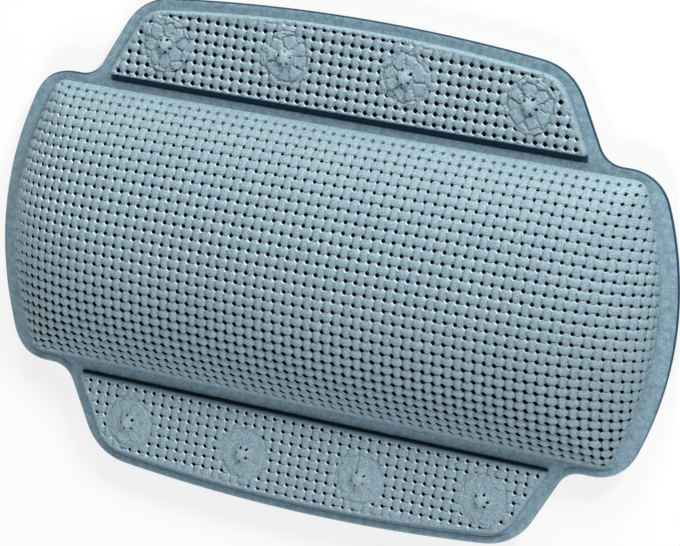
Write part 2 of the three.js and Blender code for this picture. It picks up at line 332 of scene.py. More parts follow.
def groove_faces(rims, uprights, levels):
    """Groups of faces of the grooves between holes, each with a bottom line and two sides."""
    below, above = np.moveaxis(rims[:-1], -1, 0), np.moveaxis(rims[1:], -1, 0)
    left, bottom, right = np.moveaxis(uprights, -1, 0)
    groups = [
        (below[UP], below[UP - 1], right, bottom),
        (bottom, right, above[DOWN + 1], above[DOWN]),
        (below[UP + 1], below[UP], bottom, left),
        (left, bottom, above[DOWN], above[DOWN - 1]),
    ]
    before, after = np.moveaxis(rims[:, :-1], -1, 0), np.moveaxis(rims[:, 1:], -1, 0)
    low, bottom, high = np.moveaxis(levels, -1, 0)
    return [
        *groups,
        (before[RIGHT], bottom, high, before[RIGHT + 1]),
        (bottom, after[LEFT], after[LEFT - 1], high),
        (before[RIGHT - 1], low, bottom, before[RIGHT]),
        (low, after[LEFT + 1], after[LEFT], bottom),
    ]


def cell_edges(rims, uprights, levels):
    """The 16 points round each cell: by turns three of a hole's rim and one of the groove that follows."""
    corners = (
        (rims[:-1, :-1], UP, levels[:-1, :, 2:]),
        (rims[:-1, 1:], LEFT, uprights[:, 1:, :1]),
        (rims[1:, 1:], DOWN, levels[1:, :, :1]),
        (rims[1:, :-1], RIGHT, uprights[:, :-1, 2:]),
    )
    edges = []
    for holes, end, line in corners:
        edges += [holes[..., [end - 1, end - 2, end - 3]], line]
    return np.concatenate(edges, axis=-1)


def cell_faces(centres, crowns, edges):
    """Groups of faces of the cells, from their middles over their crowns to their edges."""
    groups = [(np.broadcast_to(centres[..., None], crowns.shape), crowns, next_round(crowns))]
    for k in range(4):
        corner, side, next_corner = (crowns[..., (2 * k + step) % 8] for step in range(3))
        first, second, third, line, after = (edges[..., (4 * k + step) % 16] for step in range(5))
        groups += [
            (corner, first, second),
            (corner, second, third),
            (corner, third, line, side),
            (side, line, after, next_corner),
        ]
    return groups


def weave_mesh(first, pitch, kind, opening, turn=0.0):
    """Points and faces of a basket weave, with a hole at each whole number from the first column on.

    opening says for each row and column how far the hole is open, 1 being fully. turn is what the weave will
    be turned by later, so that the holes' slant stays the same.
    """
    rim, throat, puff, groove = kind
    rows, columns = opening.shape
    across, up = np.meshgrid(first + np.arange(columns), np.arange(rows))
    spread = CLOSED_SPREAD + (1.0 - CLOSED_SPREAD) * opening[..., None]
    full = smoothstep(*FULL_OPENINGS, opening)[..., None]
    puffs = puff * full
    grooves = groove * full
    lip = math.asin(GROOVE_HALF / rim)
    quarter = np.array([0.0, lip, math.pi / 4, math.pi / 2 - lip])
    turns = np.concatenate([quarter + math.pi / 2 * k for k in range(4)])
    reach = np.tile([1.0, 1.0, HOLE_DIAGONAL, 1.0], 4)
    ring_x, ring_y = spread * reach * np.cos(turns), spread * reach * np.sin(turns)
    slant_turn = SLANT_TURN - turn
    slant_x, slant_y = HOLE_SLANT * spread * math.cos(slant_turn), HOLE_SLANT * spread * math.sin(slant_turn)

    # Wide and tall cells take turns, so the lines between them bulge to either side by turns
    lean = np.where((across + up) % 2 == 0, 1.0, -1.0)[..., None]
    level_lean = lean.copy()
    level_lean[[0, -1]] = 0.0
    ends_x, ends_y = line_ends()

    points = PointList()
    rims = points.add(
        across[..., None] + (rim * ring_x + lean * ends_x) / pitch[0],
        up[..., None] + (rim * ring_y + level_lean * ends_y) / pitch[1],
        puffs + grooves * np.tile([1.0, 0.0, 0.0, 0.0], 4),
    )
    # Throats carry a painted highlight on their lamp-facing side
    throats = points.add(
        across[..., None] + (throat * ring_x + slant_x) / pitch[0],
        up[..., None] + (throat * ring_y + slant_y) / pitch[1],
        THROAT_DEPTH,
        wear=smoothstep(*PAINTED_HIGHLIGHT_FACING, np.cos(turns - slant_turn)),
        throat=1.0,
    )
    floors = points.add(across, up, 1.0)
    centres = points.add(across[:-1, :-1] + 0.5, up[:-1, :-1] + 0.5, 0.0)
    sides = np.array([-GROOVE_HALF, 0.0, GROOVE_HALF])
    side_depths = puffs + grooves * np.array([0.0, 1.0, 0.0])
    uprights = points.add(
        across[:-1, :, None] + (sides - WIDE_BULGE * lean[:-1]) / pitch[0],
        up[:-1, :, None] + 0.5,
        0.5 * (side_depths[:-1] + side_depths[1:]),
    )
    levels = points.add(
        across[:, :-1, None] + 0.5,
        up[:, :-1, None] + (sides + TALL_BULGE * level_lean[:, :-1]) / pitch[1],
        0.5 * (side_depths[:, :-1] + side_depths[:, 1:]),
    )
    edges = cell_edges(rims, uprights, levels)
    placed = points.all()
    middles = placed[centres][..., None, :]
    crown = middles + CELL_CROWN * (placed[edges[..., 1::2]] - middles)
    crown_depths = CELL_CROWN_DROP * 0.5 * (puffs[:-1, :-1] + puffs[1:, 1:])
    crowns = points.add(crown[..., 0], crown[..., 1], crown_depths)

    groups = [
        (throats, rims, next_round(rims), next_round(throats)),
        (np.broadcast_to(floors[..., None], throats.shape), throats, next_round(throats)),
        *groove_faces(rims, uprights, levels),
        *cell_faces(centres, crowns, edges),
    ]
    faces = []
    for corners in groups:
        faces += np.stack(corners, axis=-1).reshape(-1, len(corners)).tolist()
    return points.all(), faces


def faces_inside(faces, past):
    """Faces with at least one point that isn't past the edge."""
    return [face for face in faces if not all(past[p] for p in face)]


# Bolster surface

seam_half = [
    (-SEAM_CORNER_X, -SEAM_HALF_WIDTH, SEAM_ROUND, 0.0),
    (SEAM_CORNER_X, -SEAM_HALF_WIDTH, SEAM_ROUND, SEAM_END_BOW),
]
seam = outline(both_halves(seam_half), SEAM_STEP)
end_seam = seam[(seam[:, 0] >= ridge_half) & (seam[:, 1] >= 0.0)]
end_tip = (SEAM_CORNER_X + SEAM_END_BOW, 0.0)
end_flank = (ridge_half, SEAM_HALF_WIDTH)
end_seam = np.concatenate(([end_tip], end_seam, [end_flank]))
end_angles = np.arctan2(end_seam[:, 1], end_seam[:, 0] - ridge_half)
end_order = np.argsort(end_angles)
end_angles = end_angles[end_order]
end_reaches = np.hypot(end_seam[:, 0] - ridge_half, end_seam[:, 1])[end_order]


def dome_share(x, y):
    """Share of the way from the ridge to the seam, 1 on the seam."""
    past = np.maximum(np.abs(x) - ridge_half, 0.0)
    distance = np.hypot(past, y)
    end_far = np.interp(np.arctan2(np.abs(y), past), end_angles, end_reaches)
    far = np.where(past > 0, end_far, SEAM_HALF_WIDTH)
    share = distance / SEAM_HALF_WIDTH
    for _ in range(SHARE_ROUNDS):
        power = share**CORNER_FADE
        miss = share * (SEAM_HALF_WIDTH + (far - SEAM_HALF_WIDTH) * power) - distance
        slope = SEAM_HALF_WIDTH + (1 + CORNER_FADE) * (far - SEAM_HALF_WIDTH) * power
        share = share - miss / slope
    return share


def crown_at(x):
    along_ridge = np.clip(np.abs(x) / ridge_half, 0.0, 1.0)
    return crown_height - CROWN_DROOP * np.sin(math.pi / 2 * along_ridge) ** 2


def dome_power(x, y):
    """Power of the dome's fall, which is smaller towards the fuller ends."""
    past = np.maximum(np.abs(x) - ridge_half, 0.0)
    flank = y**2 / np.maximum(past**2 + y**2, TINY_SQUARE)
    flank = np.where(past > 0, flank, 1.0)
    return END_POWER + (FLANK_POWER - END_POWER) * flank


def dome_height(x, y):
    return crown_at(x) * np.clip(1.0 - dome_share(x, y) ** 2, 0.0, 1.0) ** dome_power(x, y)


def dome_normals(x, y, height):
    """Outward directions of the dome, which are level on the seam."""
    share = dome_share(x, y)
    slope_x = (dome_share(x + SLOPE_REACH, y) - dome_share(x - SLOPE_REACH, y)) / (2 * SLOPE_REACH)
    slope_y = (dome_share(x, y + SLOPE_REACH) - dome_share(x, y - SLOPE_REACH)) / (2 * SLOPE_REACH)
    power = dome_power(x, y)
    rise = (height / crown_at(x)) ** (1 / power - 1) / (2 * power * crown_at(x))
    normals = np.stack([share * slope_x, share * slope_y, rise], axis=-1)
    return normals / np.linalg.norm(normals, axis=-1, keepdims=True)


stations = np.concatenate(
    (
        np.linspace(0.0, ridge_half, RIDGE_STATIONS, endpoint=False),
        ridge_half + SEAM_HALF_WIDTH * np.sin(np.linspace(0.0, math.pi / 2, END_STATIONS)),
    )
)
seam_by_x = end_seam[np.argsort(end_seam[:, 0])]
station_widths = np.interp(stations, *seam_by_x.T)
station_y = station_widths[:, None] * np.sin(np.linspace(0.0, math.pi / 2, STATION_POINTS))
station_z = dome_height(np.repeat(stations[:, None], STATION_POINTS, axis=1), station_y)
station_z[:, -1] = 0.0
station_arcs = np.array([lengths_along(line) for line in np.stack((station_y, station_z), axis=-1)])
half_girth = station_arcs[0, -1]
row_pitch = 2 * half_girth / BOLSTER_ROWS
station_girths = station_arcs[:, -1]
row_stretch = np.minimum(station_girths, half_girth) / half_girth
row_stretch[stations > FULL_ROWS_X] = np.interp(FULL_ROWS_X, stations, row_stretch)


def bolster_row(girth):
    """Line of one row of the weave over the dome, from the middle to the end seam."""
    wanted = girth * row_stretch
    spare = station_girths - wanted
    inside = spare >= -GIRTH_SLACK
    last = len(stations) if inside.all() else int(np.argmin(inside))
    points = []
    for k in range(last):
        arc = min(wanted[k], station_girths[k])
        y, z = (np.interp(arc, station_arcs[k], line[k]) for line in (station_y, station_z))
        points.append((stations[k], y, z))
    if last < len(stations):
        left = max(spare[last - 1], 0.0)
        share = left / (left - spare[last])
        x = stations[last - 1] + share * (stations[last] - stations[last - 1])
        points.append((x, np.interp(x, *seam_by_x.T), 0.0))
    return np.array(points)


def bolster_places(across, up):
    """Places on the dome of points in cell coordinates, and which of them were drawn in to its seam."""
    runs = across * BOLSTER_COLUMN_PITCH + BOLSTER_COLUMN_SHIFT
    girths = up * row_pitch - half_girth
    past = np.abs(girths) > half_girth - GIRTH_SLACK
    girths = np.clip(girths, -half_girth, half_girth)
    rows = [bolster_row(girth) for girth in np.linspace(0.0, half_girth, GIRTH_STEPS + 1)]
    position = np.abs(girths) / half_girth * GIRTH_STEPS
    lower = np.minimum(position.astype(int), GIRTH_STEPS - 1)
    places = np.zeros((len(runs), 3))
    for k in range(GIRTH_STEPS):
        own = np.flatnonzero(lower == k)
        share = position[own] - k
        ends = [lengths_along(row)[-1] for row in rows[k : k + 2]]
        past[own] |= np.abs(runs[own]) >= ends[0] + (ends[1] - ends[0]) * share
        low, high = (along(row, np.minimum(np.abs(runs[own]), end)) for row, end in zip(rows[k:], ends))
        places[own] = low + (high - low) * share[:, None]
    places[:, 0] *= np.sign(runs)
    places[:, 1] *= np.sign(girths)
    return places, past


def close_below(piece, level):
    """Carries the open edge of a piece straight down to a level and closes it there."""
    mesh = open_mesh(piece)
    bmesh.ops.remove_doubles(mesh, verts=mesh.verts, dist=MERGE_DISTANCE * MM)
    rim = [e for e in mesh.edges if e.is_boundary]
    made = bmesh.ops.extrude_edge_only(mesh, edges=rim)["geom"]
    for v in made:
        if isinstance(v, bmesh.types.BMVert):
            v.co.z = level * MM
    floor_edges = [e for e in made if isinstance(e, bmesh.types.BMEdge)]
    bmesh.ops.triangle_fill(mesh, use_beauty=True, edges=floor_edges)
    write_mesh(mesh, piece.data)


def bolster_openings(reach):
    """How far each hole of the bolster is open, by row and column."""
    rows = np.arange(BOLSTER_ROWS + 1)
    shut_lower = (1.0 - LOWER_SEAM_OPENING[0]) * smoothstep(LOWER_SEAM_OPENING[1], 0.0, rows)
    shut_upper = (1.0 - UPPER_SEAM_OPENING[0]) * smoothstep(UPPER_SEAM_OPENING[1], 0.0, rows[::-1])
    ends = np.interp(np.arange(-reach, reach + 1) * BOLSTER_COLUMN_PITCH, *END_OPENINGS)
    return np.minimum((1.0 - shut_lower - shut_upper)[:, None] * ends, WIDEST_OPENING)


def make_bolster():
    reach = math.ceil(lengths_along(bolster_row(0.0))[-1] / BOLSTER_COLUMN_PITCH) + 1
    pitch = (BOLSTER_COLUMN_PITCH, row_pitch)
    weave, faces = weave_mesh(-reach, pitch, BOLSTER_WEAVE, bolster_openings(reach))
    places, past = bolster_places(weave[:, 0], weave[:, 1])
    normals = dome_normals(*places.T)
    sunk = weave[:, 2] * smoothstep(*WEAVE_RISE, places[:, 2])
    points = places - normals * (WEAVE_DEPTH * sunk)[:, None]
    points[:, 2] += weld_top
    # Painted highlight on the holes' lamp-facing rims, fading out toward the seams
    wear = weave[:, 3] * smoothstep(*PAINTED_HIGHLIGHT_HEIGHTS, places[:, 2])
    # Painted shade: by depth in the holes, and more in the holes toward the lower weld
    shade = sunk + LOWER_SIDE_SHADE * weave[:, 4] * smoothstep(*LOWER_SIDE, places[:, 1])
    piece = make_object("bolster_cushion", points, faces_inside(faces, past), depth=shade, wear=wear)
    close_below(piece, weld_z)
    piece.data.set_sharp_from_angle(angle=math.radians(RIM_ANGLE))
    return piece


# Pads on the flaps

side_slope = (FLAP_INNER_HALF - FLAP_OUTER_HALF) / FLAP_CORNER_REACH
pad_side = PAD_SIDE_MARGIN * math.hypot(1.0, side_slope)


def pad_half(reach):
    return FLAP_INNER_HALF - side_slope * reach - pad_side


pad_reach = FLAP_CORNER_REACH - PAD_OUTER_MARGIN
pad_edge = outline(
    [
        (-pad_half(PAD_GAP), PAD_GAP, PAD_INNER_ROUND, 0.0),
        (pad_half(PAD_GAP), PAD_GAP, PAD_INNER_ROUND, 0.0),
        (pad_half(pad_reach), pad_reach, PAD_OUTER_ROUND, FLAP_BOW),
        (-pad_half(pad_reach), pad_reach, PAD_OUTER_ROUND, 0.0),
    ],
    PAD_EDGE_STEP,
)


def pad_weave(kind, shift, turn):
    """Woven points of a pad, their distance in from its edge, depths, painted highlight and faces."""
    rows = math.ceil((pad_edge[:, 1].max() - PAD_GAP) / PAD_ROW_PITCH) + 1
    reach = math.ceil(pad_edge[:, 0].max() / PAD_COLUMN_PITCH) + 1
    pitch = (PAD_COLUMN_PITCH, PAD_ROW_PITCH)
    weave, faces = weave_mesh(-reach, pitch, kind, np.ones((rows + 1, 2 * reach + 1)), turn)
    places = weave[:, :2] * pitch + (shift[0], PAD_GAP + shift[1] - PAD_ROW_PITCH)
    tree = KDTree(len(pad_edge))
    for k, (edge_x, edge_y) in enumerate(pad_edge):
        tree.insert((edge_x, edge_y, 0.0), k)
    tree.balance()
    inward = inward_normals(pad_edge)
    inset = np.zeros(len(places))
    for k, place in enumerate(places):
        _, nearest, distance = tree.find((*place, 0.0))
        if np.dot(place - pad_edge[nearest], inward[nearest]) > MERGE_DISTANCE:
            inset[k] = distance
        else:
            places[k] = pad_edge[nearest]
    return places, inset, weave[:, 2], weave[:, 3], faces_inside(faces, inset == 0.0)


# Relief of a boss: rings of petals as (count, radius, scatter), how they swell, and the cracks between them,
# which are also painted with shade
PETAL_RINGS = ((8, 7.9, 0.9), (13, 12.6, 0.8))
PETAL_SCATTER = 0.38  # share of a petal's angle by which it may be out of place
PETAL_LIFT = 0.25
PETAL_TILT = 0.05
PETAL_SWELL = 0.3
PETAL_SWELL_REACH = 2.2
CRACK_WIDTH = 0.72
CRACK_DEPTH = 0.9
CRACK_SHADE = 0.58
CRACK_WAVERS = ((0.35, 2.3, 1.7), (0.25, -1.9, 3.1))  # height of a wave, and its pace across and up
CRACK_STRENGTH = (0.55, 0.45)  # middle, and how much it changes round a boss
CRACK_LEAST = 0.3
CRACK_CHANGES = (3, 0.5)  # of strength: times round, and pace outward

# Dents round its nub with painted shade, the nub itself with a painted highlight, a ring of swelling, and
# the broken groove inside its edge with painted shade in parts
PIT_COUNT = 5
PIT_SCATTER = 0.2
PIT_PLACE = (2.7, 3.6)
PIT_WIDTH = 0.9
PIT_STRENGTH = (0.65, 1.0)
NUB_SLOPE = (1.35, 0.2)  # shares of the nub's radius between which it rises
NUB_HEIGHT = 2.7
NUB_PAINTED_HIGHLIGHT = 0.28
RING_RADIUS = 7.6
RING_WIDTH = 2.4
RING_HEIGHT = 0.2
RIM_GROOVE_INSET = 1.3
RIM_GROOVE_WIDTH = 0.45
RIM_GROOVE_DEPTH = 0.5
RIM_GROOVE_SHADE = 0.57
RIM_GROOVE_BREAK = (-0.2, 0.4)
RIM_GROOVE_BREAKS = 2
BOSS_EDGE_DROP = 0.9
BOSS_EDGE_WIDTH = 1.2
BOSS_SEAT = (0.2, 1.8)  # in from a boss's edge, where the pad goes down under it
BOSS_MIDDLE = 0.1
BOSS_RINGS = 48
BOSS_SECTORS = 180
PHASES = (0.0, 6.0)


def hump(distance, width):
    return np.exp(-((distance / width) ** 2))


def petal_seeds(generator):
    """Middles of the petals of a boss, the first being its nub."""
    seeds = [(0.0, 0.0)]
    for count, reach, scatter in PETAL_RINGS:
        turn = generator.uniform(0.0, 2 * math.pi)
        for k in range(count):
            bearing = turn + 2 * math.pi * (k + generator.uniform(-PETAL_SCATTER, PETAL_SCATTER)) / count
            far = reach + generator.uniform(-scatter, scatter)
            seeds.append((far * math.cos(bearing), far * math.sin(bearing)))
    return seeds


def boss_pits(x, y, generator):
    """Small dents round the nub."""
    pits = np.zeros(x.shape)
    turn = generator.uniform(0.0, 2 * math.pi)
    for k in range(PIT_COUNT):
        bearing = turn + 2 * math.pi / PIT_COUNT * (k + generator.uniform(-PIT_SCATTER, PIT_SCATTER))
        far = generator.uniform(*PIT_PLACE)
        off = np.hypot(x - far * math.cos(bearing), y - far * math.sin(bearing))
        pits = np.maximum(pits, hump(off, PIT_WIDTH) * generator.uniform(*PIT_STRENGTH))
    return pits


def boss_petals(x, y, generator):
    """Petal that each place belongs to, how far that is from a crack, and the count of petals."""
    seeds = petal_seeds(generator)
    (first, first_x, first_y), (second, second_x, second_y) = CRACK_WAVERS
    waver = first * np.sin(first_x * x + first_y * y + generator.uniform(*PHASES))
    waver = waver + second * np.sin(second_x * x + second_y * y)
    gaps = np.stack([np.hypot(x - a, y - b) + waver * ((k % 3) - 1) for k, (a, b) in enumerate(seeds)])
    owner = np.argmin(gaps, axis=0)
    gaps = np.sort(gaps, axis=0)
    return owner, gaps[1] - gaps[0], len(seeds)


def boss_relief(x, y, crinkle, generator):
    """Height of a boss above the pad's top, the painted shade of its cracks, dents and groove, and the
    painted highlight on its nub.
    """
    radius = np.hypot(x, y)
    angle = np.arctan2(y, x)
    owner, between, count = boss_petals(x, y, generator)
    middle, change = CRACK_STRENGTH
    times, pace = CRACK_CHANGES
    strength = middle + change * np.sin(times * angle + generator.uniform(*PHASES)) * np.cos(pace * radius)
    crack = hump(between, CRACK_WIDTH) * np.clip(strength, CRACK_LEAST, 1.0)
    tilt = generator.uniform(-PETAL_TILT, PETAL_TILT, (count, 2))
    lift = generator.uniform(-PETAL_LIFT, PETAL_LIFT, count)[owner]
    lift = lift + tilt[owner, 0] * x + tilt[owner, 1] * y
    swell = PETAL_SWELL * smoothstep(0.0, PETAL_SWELL_REACH, between) - CRACK_DEPTH * crack
    pits = boss_pits(x, y, generator)
    nub = smoothstep(NUB_SLOPE[0] * NUB_RADIUS, NUB_SLOPE[1] * NUB_RADIUS, radius)
    ring = RING_HEIGHT * hump(radius - RING_RADIUS, RING_WIDTH)
    groove = hump(radius - BOSS_RADIUS + RIM_GROOVE_INSET, RIM_GROOVE_WIDTH)
    whole = np.sin(RIM_GROOVE_BREAKS * angle + generator.uniform(*PHASES))
    groove_shade = RIM_GROOVE_SHADE * groove * smoothstep(*RIM_GROOVE_BREAK, whole)
    edge = BOSS_EDGE_DROP * smoothstep(BOSS_RADIUS - BOSS_EDGE_WIDTH, BOSS_RADIUS, radius)
    height = NUB_HEIGHT * nub + ring - RIM_GROOVE_DEPTH * groove - edge + crinkle * (lift + swell) - pits
    # Painted shade in the cracks, dents and broken groove, and a painted highlight on the nub
    shade = np.maximum(CRACK_SHADE * min(crinkle, 1.0) * crack, groove_shade)
    return height, np.maximum(shade, pits), NUB_PAINTED_HIGHLIGHT * nub * (1 - pits)


def make_boss(side, place, crinkle, generator):
    """One crinkled boss, which becomes part of its pad."""
    radii = np.linspace(BOSS_MIDDLE, BOSS_RADIUS, BOSS_RINGS)
    angles = np.linspace(0.0, 2 * math.pi, BOSS_SECTORS, endpoint=False)
    radius, angle = np.meshgrid(radii, angles, indexing="ij")
    x, y = radius * np.cos(angle), radius * np.sin(angle)
    height, sunk, wear = boss_relief(x, y, crinkle, generator)
    points = np.stack([place[0] + x, place[1] + y, pad_top + height], axis=-1).reshape(-1, 3)
    numbers = np.arange(x.size).reshape(x.shape)
    faces = [face[::-1] for face in ring_quads(numbers)]
    faces.append(numbers[0].tolist())
    return make_object(f"{side}_boss", points, faces, depth=sunk.ravel(), wear=wear.ravel())


def make_pad(side, turn, kind, shift, crinkle, generator):
    """Raised woven pad of one flap, turned half round for the lower one."""
    places, inset, depths, wear, faces = pad_weave(kind, shift, turn)
    x, y = places[:, 0], places[:, 1]
    outer_side = inset < y - PAD_GAP - INNER_EDGE_SLACK
    bead = np.where(outer_side, smoothstep(*PAD_BEAD_RISE, inset / PAD_BEAD), 1.0)
    sunk = depths * bead
    edge = np.clip(PAD_EDGE_ROUND - inset, 0.0, PAD_EDGE_ROUND)
    drop = PAD_EDGE_ROUND - np.sqrt(PAD_EDGE_ROUND**2 - edge**2)
    z = pad_top - drop - WEAVE_DEPTH * sunk
    for place in CUP_PLACES:
        from_boss = np.hypot(x - place[0], y - place[1])
        under = smoothstep(*BOSS_SEAT, BOSS_RADIUS - from_boss)
        z = z * (1 - under) + (pad_top - WEAVE_DEPTH) * under
    points = np.stack([x, y, z], axis=-1)
    # The pad carries painted shade by depth and a painted highlight on its holes' rims, both faded out over
    # its bead
    piece = make_object(f"{side}_pad", points, faces, depth=sunk, wear=wear * bead)
    close_below(piece, weld_z)
    piece.data.set_sharp_from_angle(angle=math.radians(RIM_ANGLE))
    # Painted shade on the pad's inner wall beside the fold
    shades = piece.data.attributes["depth"].data
    for v in piece.data.vertices:
        if v.co.y < (PAD_GAP + INNER_WALL_SLACK) * MM:
            shades[v.index].value = INNER_WALL_SHADE
    bosses = [make_boss(side, place, crinkle, generator) for place in CUP_PLACES]
    with bpy.context.temp_override(active_object=piece, selected_editable_objects=[piece, *bosses]):
        bpy.ops.object.join()
    piece.data.transform(Matrix.Translation((0.0, fold_y * MM, 0.0)))
    piece.data.transform(Matrix.Rotation(turn, 4, "Z"))
    return piece


# Welded sheets

sheet_half = [
    (MARGIN_CORNER_X, -MARGIN_HALF_WIDTH, MARGIN_ROUND, MARGIN_END_BOW),
    (MARGIN_CORNER_X, MARGIN_HALF_WIDTH, MARGIN_ROUND, 0.0),
    (FLAP_INNER_HALF, MARGIN_HALF_WIDTH, FLAP_FILLET, 0.0),
    (FLAP_OUTER_HALF, fold_y + FLAP_CORNER_REACH, FLAP_ROUND, FLAP_BOW),
    (-FLAP_OUTER_HALF, fold_y + FLAP_CORNER_REACH, FLAP_ROUND, 0.0),
    (-FLAP_INNER_HALF, MARGIN_HALF_WIDTH, FLAP_FILLET, 0.0),
]
sheet_edge = outline(both_halves(sheet_half), MARGIN_STEP)

# Insets and heights of the sheets' rings
OUTER_LIP = ((0.0, -0.35), (0.15, -0.12), (0.45, 0.0), (0.9, 0.06))
INNER_LIP = ((1.6, 0.05), (2.4, 0.0), (3.2, -0.04), (3.9, -0.03))
LIP_PROFILE = OUTER_LIP + INNER_LIP
CUT_SNAP = 1e-7

# Folds, and the crease beside each pad, dipped a little and painted with shade: how far from the fold line
# its middle is, and its half width
FOLD_HALF = 1.5  # half width of the band that bends
FOLD_STEPS = 4
UPPER_CREASE = (0.1, 1.65)
LOWER_CREASE = (0.7, 0.8)
CREASE_SLOPE = (1.3, 0.7)  # shares of its half width between which it goes down
CREASE_DEPTH = 0.5
CREASE_FADE = 2.0
CREASE_PAST = 0.5

# Painted shade of the sheets' rings from the edge in: least, and how much more along the top and right;
# then, where the edge faces down, an unshaded edge and a painted shadow line beside the pad
CUT_EDGE_SHADES = ((0.4, 0.5), (0.4, 0.5), (0.3, 0.6), (0.0, 0.75))
PAINTED_SHADE_SIDE = (0.5, 0.866)
PAINTED_SHADE_FACING = (-0.1, 0.7)
LOW_EDGE_SHADES = (0.0, 0.0, 0.0, 0.0, 0.0, 0.0, 0.25, 0.55)
LOW_FACING = (0.6, 0.9)
END_DROOP = 1.5  # how far the margin hangs down at the two ends
DROOP_WIDTH = 3.9
DROOP_REACH = (143.0, 158.0)
crease_end = pad_half(PAD_GAP) + CREASE_PAST


def ring_loops(profile, top):
    """Rings of points in from the sheet's edge, by (inset, height), drooping at its two ends."""
    inward = inward_normals(sheet_edge)
    droop = END_DROOP * smoothstep(*DROOP_REACH, np.abs(sheet_edge[:, 0]))
    return [
        np.column_stack((sheet_edge + inward * inset, top + height - droop * (1.0 - inset / DROOP_WIDTH)))
        for inset, height in profile
    ]


def add_loops(mesh, loops):
    """Adds rings to a bmesh with faces between them, and returns their points."""
    made = [[mesh.verts.new(Vector(p) * MM) for p in loop] for loop in loops]
    for outer, inner in zip(made, made[1:]):
        count = len(outer)
        for k in range(count):
            mesh.faces.new((outer[k], outer[(k + 1) % count], inner[(k + 1) % count], inner[k]))
    return made


def loop_edges(mesh, points):
    count = len(points)
    found = [mesh.edges.get((points[k], points[(k + 1) % count])) for k in range(count)]
    return [e or mesh.edges.new((points[k], points[(k + 1) % count])) for k, e in enumerate(found)]


def fill_rings(mesh, *rings):
    """Closes a ring, or the space between two."""
    edges = [edge for ring in rings for edge in loop_edges(mesh, ring)]
    bmesh.ops.triangle_fill(mesh, use_beauty=True, edges=edges)


def slice_mesh(mesh, place, direction, **options):
    """Cuts a mesh along a plane and returns the cut's points and edges."""
    geometry = [*mesh.verts, *mesh.edges, *mesh.faces]
    return bmesh.ops.bisect_plane(
        mesh, geom=geometry, dist=CUT_SNAP, plane_co=place, plane_no=direction, **options
    )["geom_cut"]


def halve(mesh, sign):
    """Keeps one long half of a sheet, closed along the cut, with lines across its fold and its crease."""
    cut = slice_mesh(mesh, (0, 0, 0), (0, -sign, 0), clear_outer=True)
    bmesh.ops.holes_fill(mesh, edges=[e for e in cut if isinstance(e, bmesh.types.BMEdge)])
    for step in range(-FOLD_STEPS - 2, FOLD_STEPS + 1):
        slice_mesh(mesh, (0, sign * (fold_y + FOLD_HALF * step / FOLD_STEPS) * MM, 0), (0, 1, 0))
    for reach in (-crease_end, -crease_end + CREASE_FADE, crease_end - CREASE_FADE, crease_end):
        slice_mesh(mesh, (reach * MM, 0, 0), (1, 0, 0))


def shade_edge(rings, dark):
    """Paints shade on a sheet's cut edge, most along its top and right, and a shadow line inside its lower
    edge.
    """
    outward = -inward_normals(sheet_edge)
    facing = smoothstep(*PAINTED_SHADE_FACING, outward @ PAINTED_SHADE_SIDE)
    low = smoothstep(*LOW_FACING, -outward[:, 1])
    for ring, (least, more) in zip(rings, CUT_EDGE_SHADES):
        for v, share in zip(ring, facing):
            v[dark] = least + more * share
    for ring, shade in zip(rings, LOW_EDGE_SHADES):
        for v, share in zip(ring, low):
            v[dark] += (shade - v[dark]) * share


def make_front(side, sign, crease_place):
    """Front sheet of one long half: welded margin, fold and the ground under the pad, with painted shade
    along its edge and in the crease.
    """
    mesh = bmesh.new()
    dark = mesh.verts.layers.float.new("depth")
    hidden = [(DROOP_WIDTH, -sheet_thickness), (0.0, -sheet_thickness)]
    made = add_loops(mesh, ring_loops([*hidden, *LIP_PROFILE], weld_top))
    shade_edge(made[1:], dark)
    fill_rings(mesh, made[-1])
    fill_rings(mesh, made[0])
    halve(mesh, sign)
    # The crease dips a little and is painted with shade beside the pad
    for v in mesh.verts:
        off = abs(abs(v.co.y) / MM - fold_y - crease_place[0]) / crease_place[1]
        beside = min(max((crease_end - abs(v.co.x) / MM) / CREASE_FADE, 0.0), 1.0)
        crease = beside * float(smoothstep(*CREASE_SLOPE, off))
        if crease > 0 and v.co.z > (weld_z + 0.5 * sheet_thickness) * MM:
            v.co.z -= CREASE_DEPTH * crease * MM
            v[dark] = max(crease, v[dark])
    return finish_sheet(mesh, f"{side}_front_sheet")


def make_back(side, sign):
    """Back sheet of one long half, swollen behind the stuffing, with painted shade along its edge."""
    mesh = bmesh.new()
    dark = mesh.verts.layers.float.new("depth")
    profile = [(inset, -height) for inset, height in LIP_PROFILE]
    hidden = [(DROOP_WIDTH, sheet_thickness), (0.0, sheet_thickness)]
    made = add_loops(mesh, ring_loops([*hidden, *profile], back_z))
    shade_edge(made[1:], dark)
    belly = []
    ridge = np.column_stack((np.clip(seam[:, 0], -ridge_half, ridge_half), np.zeros(len(seam))))
    for share in np.linspace(1.0, 0.0, BELLY_RINGS):
        place = ridge + (seam - ridge) * max(share, BELLY_MIDDLE)
        belly.append(np.column_stack((place, np.full(len(seam), back_z - BELLY_DEPTH * (1 - share**2)))))
    belly_points = add_loops(mesh, belly)
    fill_rings(mesh, made[-1], belly_points[0])
    fill_rings(mesh, made[0])
    fill_rings(mesh, belly_points[-1])
    halve(mesh, sign)
    return finish_sheet(mesh, f"{side}_back_sheet")


def finish_sheet(mesh, name):
    data = bpy.data.meshes.new(name)
    write_mesh(mesh, data)
    data.shade_smooth()
    data.set_sharp_from_angle(angle=math.radians(SHEET_ANGLE))
    return place_object(name, data)


# Suction cups


